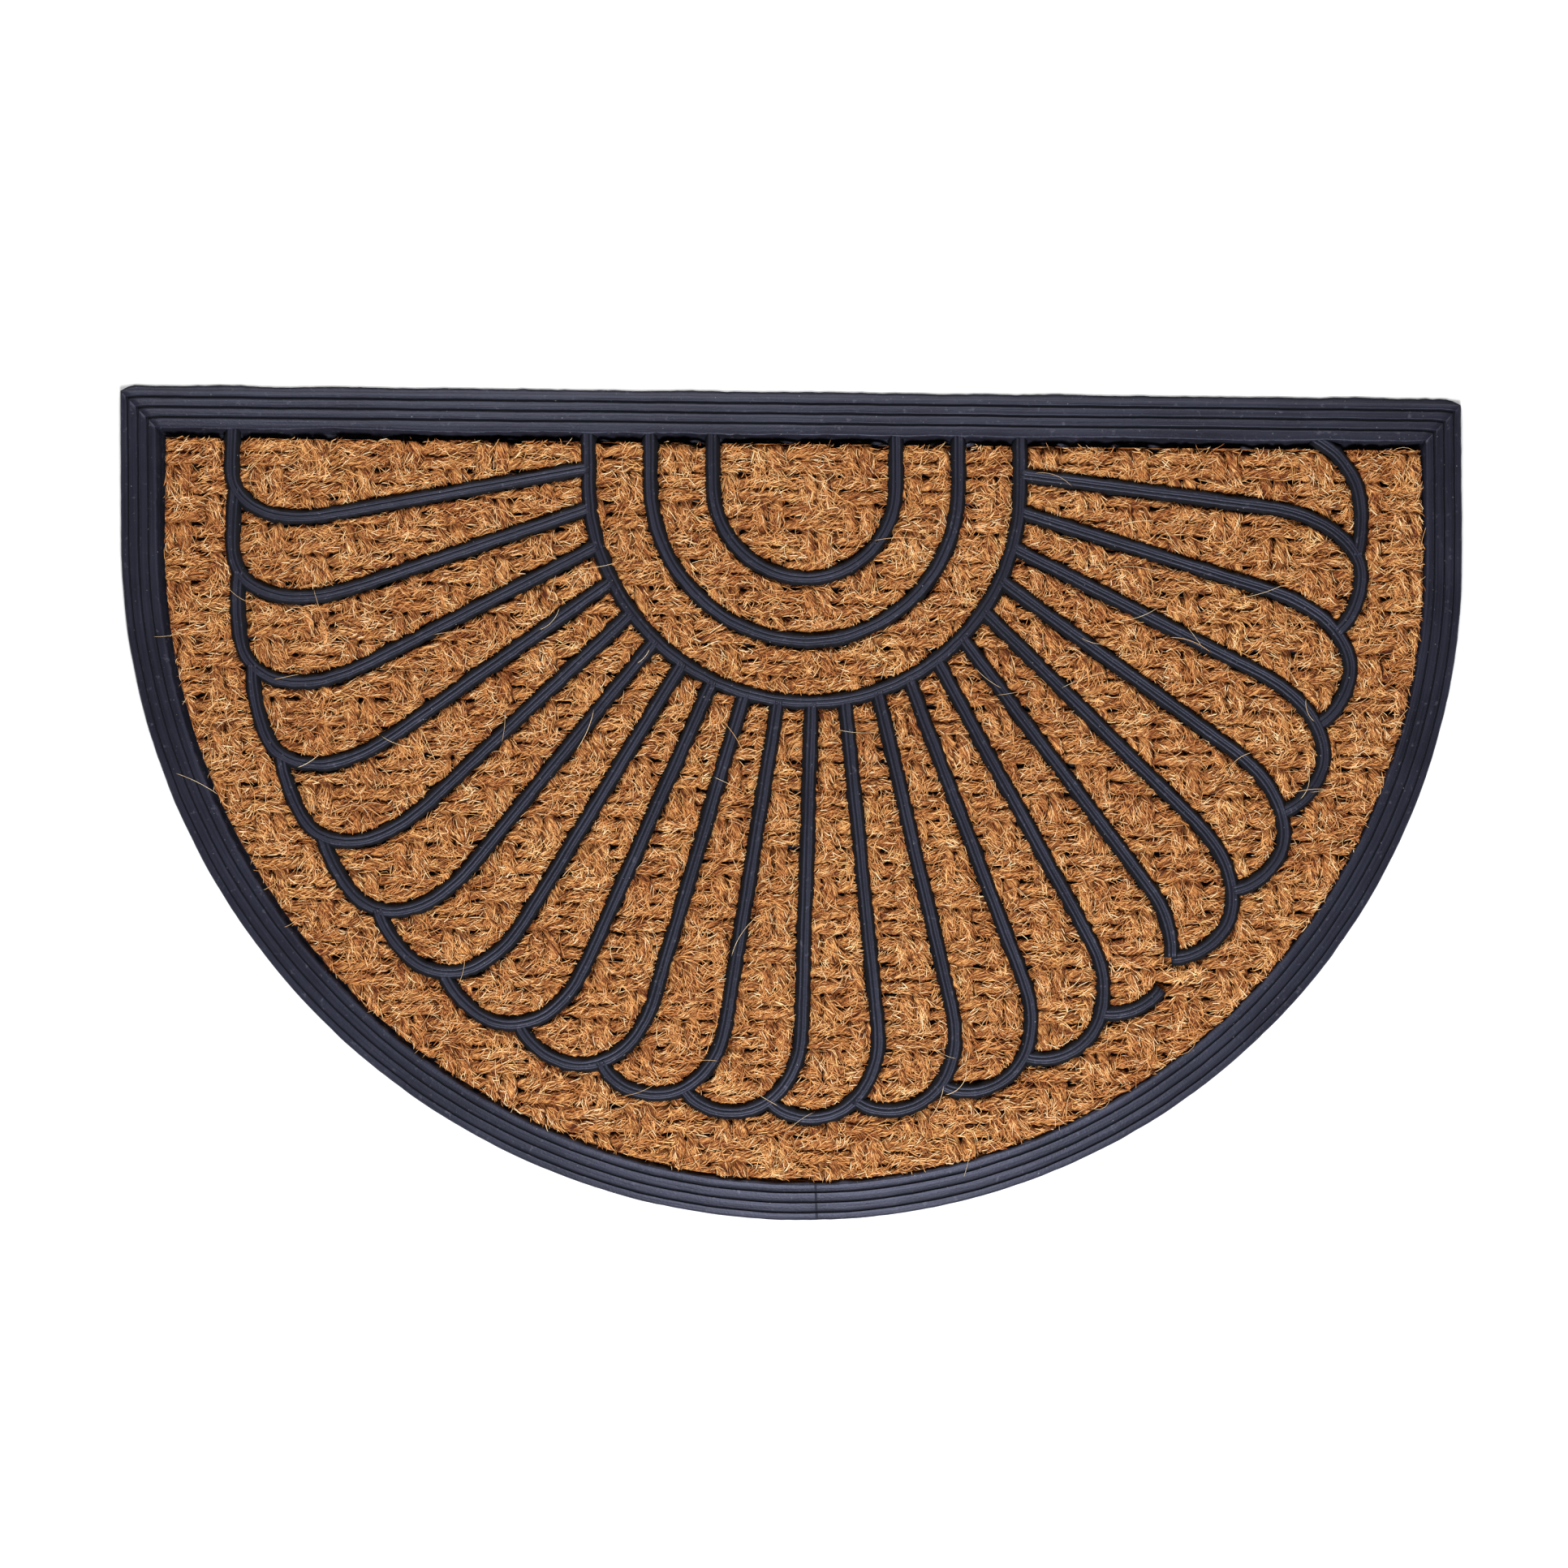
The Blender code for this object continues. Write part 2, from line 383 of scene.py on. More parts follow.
# The strip along the straight edge: how far out it lies, and the thin flash at its outer edge
STRIP_SHIFT = 0.0008
FLASH = 0.0024
FLASH_LUMPS = 0.0007
FLASH_EDGE = 0.0001
FLASH_END = 0.0003
FLASH_HEIGHT = 0.0011
STRIP_SLOPE_SHIFT = 0.0014
SLOPE_LUMPS = 0.0007
SIDE_DRIFT = 0.0004
SIDE_DRIFT_END = 0.3
CORNER_FADE = 0.006
# How fast the "run" coordinate of the fine drawn lines grows along the rubber and across it
RUN_ALONG = 14
RUN_ACROSS = 900
# Across a groove, in shares of its half width: place, depth, and how much painted light it keeps; a low
# share paints the groove's bottom with painted shade
GROOVE_SECTION = (
    (-1.5, -0.02, 1.0), (-1.2, 0.0, 1.0), (-0.82, 0.42, 1.0), (-0.66, 0.75, 0.1), (-0.4, 1.0, 0.0),
    (0.4, 1.0, 0.0), (0.66, 0.7, 0.1), (0.8, 0.30, 1.0), (1.55, 0.02, 1.0), (1.8, -0.03, 1.0),
)


def side_shares(parts):
    """Even shares of a straight side, with one more close to each end."""
    near = 0.04 / parts
    return [0.0, near] + [step / parts for step in range(1, parts)] + [1.0 - near]


def outline_places(inset):
    """The outline moved inwards, as points (across, down, seam) that run round it once."""
    reach = HALF_WIDTH - inset
    points = []
    for share in side_shares(TOP_PARTS):
        points.append((-reach + 2 * reach * share, inset, share == 0.0))
    for share in side_shares(SIDE_PARTS)[:-1]:
        points.append((reach, inset + (STRAIGHT_SIDE - inset) * share, share == 0.0))
    for step in range(ARC_PARTS):
        turns = [pi * step / ARC_PARTS]
        if step == SPLICE_PART:
            turns = [turns[0] + turn * SEAM_HALF / HALF_WIDTH for turn in SPLICE_TURNS]
        for number, angle in enumerate(turns):
            points.append((reach * cos(angle), STRAIGHT_SIDE + reach * sin(angle), number == 2))
    for share in reversed(side_shares(SIDE_PARTS)[1:]):
        points.append((-reach, inset + (STRAIGHT_SIDE - inset) * share, False))
    return points


def border_profile():
    """(inset, height, painted light) from the floor up over the banded border and down to the backing, with
    painted shade on the outer wall, in the grooves and on the inner slope.
    """
    rise = (BANDS_HIGH - BANDS_LOW) / BANDS_END
    profile = [(0.0, 0.0, 0.2), (0.0, 0.0018, 0.2), (0.00005, EDGE_HEIGHT - 0.0003, 0.5)]
    profile.append((0.0002, EDGE_HEIGHT + 0.0004, 0.9))
    profile.append((0.0006, BANDS_LOW - 0.0001, 1.0))
    profile.append((0.0012, BANDS_LOW + rise * 0.0012, 1.0))
    for inset in GROOVES:
        level = BANDS_LOW + rise * inset
        for share, drop, crest in GROOVE_SECTION:
            shift = share * GROOVE_HALF
            profile.append((inset + shift, level + rise * shift - drop * GROOVE_DEPTH, crest))
    profile.append((BANDS_END - 0.0013, BANDS_HIGH - 0.0003, 1.0))
    profile.append((BANDS_END - 0.0004, BANDS_HIGH - 0.0001, 1.0))
    profile.append((BANDS_END + 0.0001, BANDS_HIGH - 0.0004, 0.9))
    profile.append((BANDS_END + 0.0005, BANDS_HIGH - 0.0012, 0.7))
    profile.append((BANDS_END + 0.0013, 0.0064, 0.65))
    profile.append((BANDS_END + 0.0024, 0.0036, 0.6))
    profile.append((SLOPE_END, BACKING_TOP, 0.6))
    return profile


def on_strip(down, inset):
    """Whether a place of the border's outline, at this inset, lies along the straight edge."""
    return down < inset + 0.001


def unevenness(across, down, inset):
    """How far inwards the moulded border strays here."""
    amount = 0.00025 * ripple(across * 40, down * 40)
    amount += 0.00018 * ripple(across * 170, down * 170, inset * 200)
    if inset > BANDS_END:
        amount += SLOPE_LUMPS * ripple(across * 260, down * 260, 4.0)
    if on_strip(down, inset):
        return amount + strip_unevenness(across, inset)
    if inset > 0.002:
        amount += SIDE_DRIFT * min(1.0, down / SIDE_DRIFT_END)
    for groove in GROOVES:
        if abs(inset - groove) < 2 * GROOVE_HALF:
            amount -= (inset - groove) * GROOVE_NARROWER
    return amount


def strip_unevenness(across, inset):
    """How far inwards the strip along the straight edge lies as well."""
    amount = -STRIP_SHIFT
    if inset < FLASH_EDGE:
        amount -= FLASH + FLASH_LUMPS * (ripple(across * 30, 5.0) + 0.6 * ripple(across * 210, 8.0))
    if inset > BANDS_END - 0.002:
        amount += STRIP_SLOPE_SHIFT * (1 + ripple(across * 14, 11.0))
    return amount


def moved_inwards(point, amount):
    """A place on the outline moved across it, and less so near the two square corners."""
    across, down = point
    if down > STRAIGHT_SIDE:
        reach = hypot(across, down - STRAIGHT_SIDE)
        share = (reach - amount) / reach
        return (across * share, STRAIGHT_SIDE + (down - STRAIGHT_SIDE) * share)
    to_side = HALF_WIDTH - abs(across)
    if to_side > down:
        return (across, down + amount * min(1.0, (to_side - down) / CORNER_FADE))
    amount *= min(1.0, (down - to_side) / CORNER_FADE)
    return (across - amount if across > 0 else across + amount, down)


def border_height(height, down, inset, seam):
    """Height of the skin, with its thin flash along the straight edge and its lowered seams."""
    if on_strip(down, inset) and inset < FLASH_END:
        return min(height, FLASH_HEIGHT)
    if seam and SEAM_START < inset < BANDS_END + 0.001:
        return height - SEAM_DEPTH * (SPLICE_DEEPER if down > STRAIGHT_SIDE else 1.0)
    return height


def border_ring(inset, height):
    ring = []
    for across, down, seam in outline_places(inset):
        moved = moved_inwards((across, down), unevenness(across, down, inset))
        ring.append(place(moved, border_height(height, down, inset, seam)))
    return ring


def grow_rings(mesh, rings):
    """A closed skin over rings of points; each ring is extruded out of the one before."""
    start = bmesh.ops.create_circle(mesh, segments=len(rings[0]), radius=1.0)["verts"]
    edges = list({edge for vert in start for edge in vert.link_edges})
    first_edges = edges
    verts = in_order(start)
    for vert, point in zip(verts, rings[0]):
        vert.co = point
    made = [verts]
    for ring in rings[1:]:
        new = bmesh.ops.extrude_edge_only(mesh, edges=edges)["geom"]
        edges = [item for item in new if isinstance(item, bmesh.types.BMEdge)
                 and all(vert not in verts for vert in item.verts)]
        fresh = {item for item in new if isinstance(item, bmesh.types.BMVert)}
        partner = {}
        for vert in verts:
            for edge in vert.link_edges:
                other = edge.other_vert(vert)
                if other in fresh:
                    partner[vert] = other
        verts = [partner[vert] for vert in verts]
        for vert, point in zip(verts, ring):
            vert.co = point
        made.append(verts)
    bmesh.ops.edgeloop_fill(mesh, edges=first_edges)
    bmesh.ops.edgeloop_fill(mesh, edges=edges)
    return made


def in_order(verts):
    """The vertices of one closed loop, in order round it."""
    order = [verts[0]]
    seen = {verts[0]}
    while len(order) < len(verts):
        last = order[-1]
        for edge in last.link_edges:
            other = edge.other_vert(last)
            if other not in seen:
                seen.add(other)
                order.append(other)
                break
    return order


def make_border(material):
    profile = border_profile()
    rings = [border_ring(inset, height) for inset, height, _ in profile]
    mesh = bmesh.new()
    # each vertex's share of painted light; a low share paints it with painted shade
    crest = mesh.verts.layers.float.new("crest")
    run = mesh.verts.layers.float_vector.new("run")
    for (inset, _, level), verts in zip(profile, grow_rings(mesh, rings)):
        along = 0.0
        spliced = [seam and down > STRAIGHT_SIDE for _, down, seam in outline_places(inset)]
        for index, vert in enumerate(verts):
            along += (vert.co - verts[index - 1].co).length if index else 0.0
            vert[crest] = min(level, SPLICE_PAINTED_LIGHT) if spliced[index] else level
            vert[run] = (along * RUN_ALONG, inset * RUN_ACROSS, 0.0)
    bmesh.ops.recalc_face_normals(mesh, faces=mesh.faces)
    border = dress(finished_mesh(mesh, "rubber_border"), material)
    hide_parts("rubber_moulding")


# Paths of the ribs: three nested arches, and a fan of spokes that curl over at the rim

ARCH_CENTRE = (0.0074, 0.0500)
ARCH_RADII = (0.0510, 0.0860, 0.1205)
ARCH_STEPS = 22
RIB_START_INSET = 0.0195
SPOKES = 21
SPOKE_OVERLAP = 0.0105
# A spoke runs through a near and a far place on two circles about the arches' centre. Its angle
# there, in degrees, is a polynomial of its place in the fan, which goes from -1 to 1.
FAN_ROOT_RADIUS = 0.1313
FAN_ROOT_RULE = (91.25, 88.16, -1.38, 4.91)
FAN_FAR_RADIUS = 0.2672
FAN_FAR_RULE = (89.52, 81.10, 1.41, 5.92)
RIM_CENTRE = (0.0030, 0.0870)
RIM_RADIUS = 0.3155
CURL_STEPS = 7
RETURN_STEPS = 8
# spoke number, depth and width of the bend, width and depth of its way back
CURLS = (
    (0, 0.050, 0.034, 0.060, 0.012),
    (1, 0.070, 0.043, 0.060, 0.012),
    (5, 0.062, 0.043, 0.050, 0.016),
    (9, 0.048, 0.043, 0.032, 0.025),
    (14, 0.046, 0.039, 0.034, 0.025),
    (20, 0.050, 0.031, 0.040, 0.025),
    (21, 0.062, 0.052, 0.040, 0.012),
)
SHORTEST_STEP = 0.0040
HALVINGS = 40
# The spoke that didn't fill in the mould, and the angles of its bend at which it stops and goes on
BROKEN_SPOKE = 15
BREAK_ANGLES = (54.0, 68.0)
SMOOTHED_STEP = 0.0080


def arch_point(radius, degrees):
    angle = radians(degrees)
    return Vector((ARCH_CENTRE[0] - radius * cos(angle), ARCH_CENTRE[1] + radius * sin(angle)))


def arch_path(radius):
    bend = [arch_point(radius, 180.0 * step / ARCH_STEPS) for step in range(ARCH_STEPS + 1)]
    first = Vector((bend[0].x, RIB_START_INSET))
    final = Vector((bend[-1].x, RIB_START_INSET))
    return list(reversed([first] + bend + [final]))


def to_rim(point):
    """Distance along the rim, clockwise from its lowest point, and depth inside it."""
    across = point[0] - RIM_CENTRE[0]
    down = point[1] - RIM_CENTRE[1]
    if down >= 0:
        return RIM_RADIUS * atan2(-across, down), RIM_RADIUS - hypot(across, down)
    turn = 1 if across < 0 else -1
    return turn * (RIM_RADIUS * pi / 2 - down), RIM_RADIUS - abs(across)


def from_rim(distance, depth):
    """The place at a distance along the rim and a depth inside it."""
    quarter = RIM_RADIUS * pi / 2
    reach = RIM_RADIUS - depth
    if abs(distance) <= quarter:
        angle = distance / RIM_RADIUS
        return Vector((RIM_CENTRE[0] - reach * sin(angle), RIM_CENTRE[1] + reach * cos(angle)))
    turn = 1 if distance > 0 else -1
    return Vector((RIM_CENTRE[0] - turn * reach, RIM_CENTRE[1] - abs(distance) + quarter))


def curl_sizes(spoke):
    """The sizes of a spoke's curl, between those of the spokes that CURLS lists."""
    for low, high in zip(CURLS, CURLS[1:]):
        if low[0] <= spoke <= high[0]:
            share = (spoke - low[0]) / (high[0] - low[0])
            return [a + share * (b - a) for a, b in zip(low[1:], high[1:])]
    return CURLS[-1][1:]


def fan_angle(rule, spoke):
    at = (spoke - (SPOKES - 1) / 2) / ((SPOKES - 1) / 2)
    return sum(factor * at ** power for power, factor in enumerate(rule))


def line_at_depth(start, direction, depth):
    """Distance along the rim of the place where a line comes to a depth inside the rim."""
    near, far = 0.0, 2 * RIM_RADIUS
    for _ in range(HALVINGS):
        middle = (near + far) / 2
        if to_rim(start + direction * middle)[1] > depth:
            near = middle
        else:
            far = middle
    return to_rim(start + direction * near)[0]


def crossing(start, end, path):
    """Where a step crosses a path, if it does."""
    for a, b in zip(path, path[1:]):
        met = intersect_line_line_2d(start, end, a, b)
        if met:
            return met
    return None


def into_border(inner, outer):
    """Where a step from the coir goes in under the border's inner edge."""
    share = (RIB_START_INSET - outer.y) / (inner.y - outer.y)
    return outer.lerp(inner, share)


def spoke_parts(spoke, rib_before):
    """A spoke's points, each with the angle that its bend has turned through."""
    bend_depth, bend_width, back_width, back_depth = curl_sizes(spoke)
    root = arch_point(FAN_ROOT_RADIUS, fan_angle(FAN_ROOT_RULE, spoke))
    far = arch_point(FAN_FAR_RADIUS, fan_angle(FAN_FAR_RULE, spoke))
    direction = (far - root).normalized()
    parts = [(0.0, root - direction * SPOKE_OVERLAP)]
    for step in range(CURL_STEPS + 1):
        degrees = 90.0 * step / CURL_STEPS
        depth = bend_depth * (1 - sin(radians(degrees)))
        shift = bend_width * (1 - cos(radians(degrees)))
        distance = line_at_depth(root, direction, depth) + shift
        parts.append((degrees, from_rim(distance, depth)))
    for step in range(1, RETURN_STEPS + 1):
        angle = radians(90.0 * step / RETURN_STEPS)
        point = from_rim(distance + back_width * sin(angle), back_depth * (1 - cos(angle)))
        end = rib_before and crossing(parts[-1][1], point, rib_before)
        if not end and point.y < RIB_START_INSET:
            end = into_border(parts[-1][1], point)
        if end and (end - parts[-1][1]).length < SHORTEST_STEP:
            parts.pop()
        parts.append((90.0, end or point))
        if end:
            break
    return parts


def out_of_border(path):
    """A path cut to the part that lies inside the border's inner edge."""
    first = next(index for index, point in enumerate(path) if point.y > RIB_START_INSET)
    return [into_border(path[first], path[first - 1])] + path[first:]


def fan_paths():
    paths = []
    rib_before = None
    for spoke in range(SPOKES + 1):
        parts = spoke_parts(spoke, rib_before)
        rib_before = [point for _, point in parts]
        if spoke == BROKEN_SPOKE:
            paths.append([point for degrees, point in parts if degrees <= BREAK_ANGLES[0]])
            paths.append([point for degrees, point in parts if degrees >= BREAK_ANGLES[1]])
        elif spoke == SPOKES:
            paths.append(out_of_border(rib_before[1:]))
        else:
            paths.append(rib_before)
    return paths


def rounded(path):
    """The same path with three more points on a smooth curve between every two."""
    points = []
    last = len(path) - 1
    for index in range(last):
        before, here = path[max(index - 1, 0)], path[index]
        there, after = path[index + 1], path[min(index + 2, last)]
        for quarter in range(4):
            t = quarter / 4
            points.append(0.5 * (2 * here + (there - before) * t
                                 + (2 * before - 5 * here + 4 * there - after) * t * t
                                 + (3 * here - before - 3 * there + after) * t * t * t))
    return points + [path[last]]


def evenly(path, spacing):
    """The same path with points at even distances."""
    lengths = [(b - a).length for a, b in zip(path, path[1:])]
    total = sum(lengths)
    count = max(2, ceil(total / spacing))
    points = []
    index = 0
    passed = 0.0
    for step in range(count + 1):
        wanted = total * step / count
        while index < len(lengths) - 1 and passed + lengths[index] < wanted:
            passed += lengths[index]
            index += 1
        share = min(1.0, (wanted - passed) / max(lengths[index], 1e-9))
        points.append(path[index].lerp(path[index + 1], share))
    return points


def sides_of(path):
    """A unit vector to the side at each point of a path."""
    sides = []
    last = len(path) - 1
    for index in range(last + 1):
        along = (path[min(index + 1, last)] - path[max(index - 1, 0)]).normalized()
        sides.append(Vector((-along.y, along.x)))
    return sides


# Ribs

RIB_HALF = 0.0044
RIB_FOOT = 0.0046
RIB_SPACING = 0.0025
# sideways place on a rib, height of its skin, and how much painted light it keeps there; a low share paints
# the flanks and grooves with painted shade
RIB_SECTION = (
    (-1.00, -0.10, 0.0), (-1.00, 0.25, 0.0), (-0.93, 0.48, 0.0), (-0.80, 0.74, 0.0), (-0.66, 0.93, 0.0),
    (-0.55, 1.00, 0.55), (-0.36, 0.99, 1.0), (-0.30, 0.955, 0.4), (-0.24, 1.00, 1.0), (-0.06, 1.00, 1.0),
    (0.02, 0.94, 0.3), (0.09, 0.82, 0.0), (0.16, 0.93, 0.3), (0.24, 0.97, 1.0), (0.42, 0.96, 0.75),
    (0.52, 0.90, 0.10), (0.66, 0.72, 0.0), (0.84, 0.48, 0.0), (0.97, 0.25, 0.0), (1.00, -0.10, 0.0),
)
# least sideways place, and how rough the skin is from there out
RIB_ROUGHNESS = ((0.9, 0.0011), (0.6, 0.0006), (0.0, 0.00015))


def rib_rings(path, number):
    """Rings round a rib, a little uneven as they came out of the mould."""
    points = evenly(path, RIB_SPACING)
    level = RIB_TOP - 0.00012 * (number % 3)
    rings = []
    for point, side in zip(points, sides_of(points)):
        where = Vector((point.x * 60, point.y * 60, number * 3.1))
        wide = RIB_HALF * (1.0 + 0.06 * noise.noise(where) + 0.05 * noise.noise(where * 4.0))
        sway = 0.00025 * noise.noise(where * 0.7 + Vector((9.0, 4.0, 1.0)))
        lift = 0.0002 * noise.noise(where * 0.9 + Vector((2.0, 7.0, 5.0)))
        ring = []
        for share, rise, _ in RIB_SECTION:
            rough = next(size for least, size in RIB_ROUGHNESS if abs(share) > least)
            lump = rough * noise.noise(where * 9.0 + Vector((share, 0.0, 0.0)))
            height = RIB_BOTTOM + (level + lift - RIB_BOTTOM) * rise if rise > 0 else RIB_FOOT
            ring.append(place(point + side * (share * wide + sway + lump), height))
        rings.append(ring)
    return rings


def make_ribs(material, paths):
    parts = []
    for number, path in enumerate(paths):
        mesh = bmesh.new()
        # each vertex's share of painted light; a low share paints the flanks and grooves with painted shade
        crest = mesh.verts.layers.float.new("crest")
        run = mesh.verts.layers.float_vector.new("run")
        for step, verts in enumerate(grow_rings(mesh, rib_rings(path, number))):
            for vert, (share, _, level) in zip(verts, RIB_SECTION):
                vert[crest] = level
                vert[run] = (step * RIB_SPACING * RUN_ALONG, share * RIB_HALF * RUN_ACROSS, number * 5.3)
        bmesh.ops.recalc_face_normals(mesh, faces=mesh.faces)
        parts.append(mesh_data(mesh, f"rib_{number}"))
    ribs = dress(joined("rubber_ribs", parts), material)
    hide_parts("rubber_moulding")


# Coir cloth: pairs of weft yarns over and under pairs of warp yarns

WARP_PAIR = 0.0255
WEFT_PAIR = 0.01607
WARP_START = -0.4080
WEFT_START = -0.0050
WARP_END = 0.42
WEFT_LENGTH = 0.80
WARP_LENGTH = 0.48
WEFT_TILT = 0.0033
WARP_TILT = 0.0067
CLOTH_MIDDLE = 0.0066
CRIMP = 0.0019
WEFT_HALF = 0.0041
WARP_HALF = 0.0051
YARN_HALF_HEIGHT = 0.0027
WEFT_APART = 0.0038
WARP_APART = 0.0045
TWIST = 0.034
YARN_STEP = 0.0035
# Yarns are cut this far outside the coir's outline, and their ends then drawn back onto it
CUT_OFF = 0.0045
YARN_WELD = 0.00002
# How fast the "strand" coordinate of the spun fibres grows along a yarn and across it
STRAND_ALONG = 160
STRAND_ACROSS = 4.5
# turn and reach of a two-ply yarn's skin, as shares of half its width
PLY_SECTION = (
    (0, 1.0), (42, 0.92), (90, 0.62), (138, 0.92), (180, 1.0), (222, 0.92), (270, 0.62), (318, 0.92),
)
# From its shoulder to its edge a rib presses the cloth down, to this share of its height
RIB_EDGE = 0.0049
RIB_SHOULDER = 0.0072
LEAST_LOFT = 0.27
PRESS_STEP = 0.001


def cloth_place(along, down):
    """The place on the mat of a place on the cloth, whose yarns run a little askew."""
    return Vector((along + WARP_TILT * down, down + WEFT_TILT * along))


def on_cloth(point):
    return point[0] - WARP_TILT * point[1], point[1] - WEFT_TILT * point[0]


def side_reach(down, inset):
    """Half the coir's width on its straight sides, which lie a little further in at the top."""
    return HALF_WIDTH - inset - COIR_SIDE_GAP * max(0.0, 1 - down / STRAIGHT_SIDE)


def inside(point, inset):
    """Whether a place lies on the coir, which sits a little off the middle of the border."""
    across, down = point[0] - COIR_SHIFT[0], point[1] - COIR_SHIFT[1]
    if down < inset + COIR_TOP_GAP or abs(across) > side_reach(down, inset):
        return False
    return down <= STRAIGHT_SIDE or hypot(across, down - STRAIGHT_SIDE) <= HALF_WIDTH - inset


def onto_coir(point):
    """The place itself, or the nearest one on the coir's outline."""
    across, down = point[0] - COIR_SHIFT[0], max(point[1] - COIR_SHIFT[1], COIR_INSET + COIR_TOP_GAP)
    reach = HALF_WIDTH - COIR_INSET
    if down <= STRAIGHT_SIDE:
        reach = side_reach(down, COIR_INSET)
        across = max(-reach, min(reach, across))
    else:
        share = min(1.0, reach / hypot(across, down - STRAIGHT_SIDE))
        across, down = across * share, STRAIGHT_SIDE + (down - STRAIGHT_SIDE) * share
    return Vector((across + COIR_SHIFT[0], down + COIR_SHIFT[1]))


def jitter(*numbers):
    """Smooth noise of two or three numbers, which may be whole ones."""
    return noise.noise(Vector([number * 7.31 + 0.37 for number in numbers] + [0.5] * (3 - len(numbers))))


def row_middle(row):
    return WEFT_START + (row + 0.5) * WEFT_PAIR + 0.0007 * jitter(row * 1.7, 2.0)


def column_middle(column):
    return WARP_START + (column + 0.5) * WARP_PAIR + 0.0016 * jitter(column * 1.7, 9.0)


def eased(wave):
    """A wave with broader crests and troughs."""
    return wave * (1.5 - 0.5 * wave * wave)


def weft_height(along, row):
    wave = cos(pi * (along - WARP_START - WARP_PAIR / 2) / WARP_PAIR + pi * row)
    return CLOTH_MIDDLE + CRIMP * eased(wave)


def warp_height(down, column):
    wave = cos(pi * (down - WEFT_START - WEFT_PAIR / 2) / WEFT_PAIR + pi * column)
    return CLOTH_MIDDLE - CRIMP * eased(wave)


class Press:
    """Distances to the ribs, which hold the coir down."""

    def __init__(self, paths):
        points = [point for path in paths for point in evenly(path, PRESS_STEP)]
        self.tree = KDTree(len(points))
        for index, point in enumerate(points):
            self.tree.insert((point.x, point.y, 0.0), index)
        self.tree.balance()

    def distance(self, point):
        """Distance from a place to the middle of the nearest rib."""
        return self.tree.find((point[0], point[1], 0.0))[2]


def pressed(height, distance):
    """A height of the cloth, pressed down at this distance from the middle of a rib."""
    share = min(1.0, max(0.0, (distance - RIB_EDGE) / (RIB_SHOULDER - RIB_EDGE)))
    share = LEAST_LOFT + (1 - LEAST_LOFT) * sqrt(share)
    return COIR_BOTTOM + (height - COIR_BOTTOM) * share


def weft_points(row, turn):
    """The middle line of one of the two weft yarns in a row."""
    middle = row_middle(row) + turn * WEFT_APART
    points = []
    for step in range(int(WEFT_LENGTH / YARN_STEP)):
        along = -WEFT_LENGTH / 2 + step * YARN_STEP
        sway = 0.0007 * jitter(along * 9, row, turn)
        lift = 0.0004 * jitter(along * 12, row, turn + 3)
        flat = cloth_place(along, middle + sway)
        points.append(Vector((flat.x, flat.y, weft_height(along, row) + lift)))
    return points


def warp_points(column, turn):
    """The middle line of one of the two warp yarns in a column."""
    middle = column_middle(column) + turn * WARP_APART
    points = []
    for step in range(int(WARP_LENGTH / YARN_STEP)):
        down = step * YARN_STEP
        sway = 0.0009 * jitter(down * 9, column, turn + 8)
        lift = 0.0004 * jitter(down * 12, column, turn + 5)
        flat = cloth_place(middle + sway, down)
        points.append(Vector((flat.x, flat.y, warp_height(down, column) + lift)))
    return points


def longest_inside(points, inset):
    """The longest run of points that lies inside the outline."""
    best = []
    run = []
    for point in points:
        if inside((point.x, point.y), inset):
            run.append(point)
            best = run if len(run) > len(best) else best
        else:
            run = []
    return best


def cut_yarns(yarn_points, pairs):
    """The middle lines of both yarns of every pair, cut to the mat."""
    lines = []
    for pair in range(pairs):
        for turn in (-1, 1):
            line = longest_inside(yarn_points(pair, turn), COIR_INSET - CUT_OFF)
            if len(line) > 3:
                lines.append(line)
    return lines


def yarn_rings(centres, half_width, start_turn, press):
    """Rings of a twisted two-ply yarn round its middle line, pressed down under the ribs."""
    rings = []
    coordinates = []
    flat = [Vector((centre.x, centre.y)) for centre in centres]
    for index, (centre, side) in enumerate(zip(centres, sides_of(flat))):
        turn = start_turn + 2 * pi * index * YARN_STEP / TWIST
        fat = 1.0 + 0.24 * jitter(index * 0.06, start_turn)
        ring = []
        around = []
        for degrees, reach in PLY_SECTION:
            angle = radians(degrees)
            sideways = half_width * fat * reach * cos(angle + turn)
            up = YARN_HALF_HEIGHT * fat * reach * sin(angle + turn)
            point = onto_coir(flat[index] + side * sideways)
            height = pressed(max(centre.z + up, COIR_BOTTOM), press.distance(point))
            ring.append(place(point, height))
            around.append((index * YARN_STEP, reach * cos(angle), reach * sin(angle)))
        rings.append(ring)
        coordinates.append(around)
    return rings, coordinates


def make_yarns(name, lines, half_width, press):
    parts = []
    for number, centres in enumerate(lines):
        rings, coordinates = yarn_rings(centres, half_width, 2.4 * number, press)
        mesh = bmesh.new()
        strand = mesh.verts.layers.float_vector.new("strand")
        for verts, around in zip(grow_rings(mesh, rings), coordinates):
            for vert, (along, a, b) in zip(verts, around):
                vert[strand] = (along * STRAND_ALONG + number * 11.3, a * STRAND_ACROSS, b * STRAND_ACROSS)
        bmesh.ops.remove_doubles(mesh, verts=mesh.verts, dist=YARN_WELD)
        bmesh.ops.dissolve_degenerate(mesh, edges=mesh.edges, dist=YARN_WELD)
        bmesh.ops.recalc_face_normals(mesh, faces=mesh.faces)
        parts.append(mesh_data(mesh, f"yarn_{number}"))
    return joined(name, parts)


# Loose fibres: most are laid along their yarn, some are wild, and a few strays lie over the rubber

HAIR_PIECES = 4
HAIRS_A_PIECE = 12300
STRAYS_A_PIECE = 16
HAIR_RADIUS = 0.00024
HAIR_WELD = 0.000002
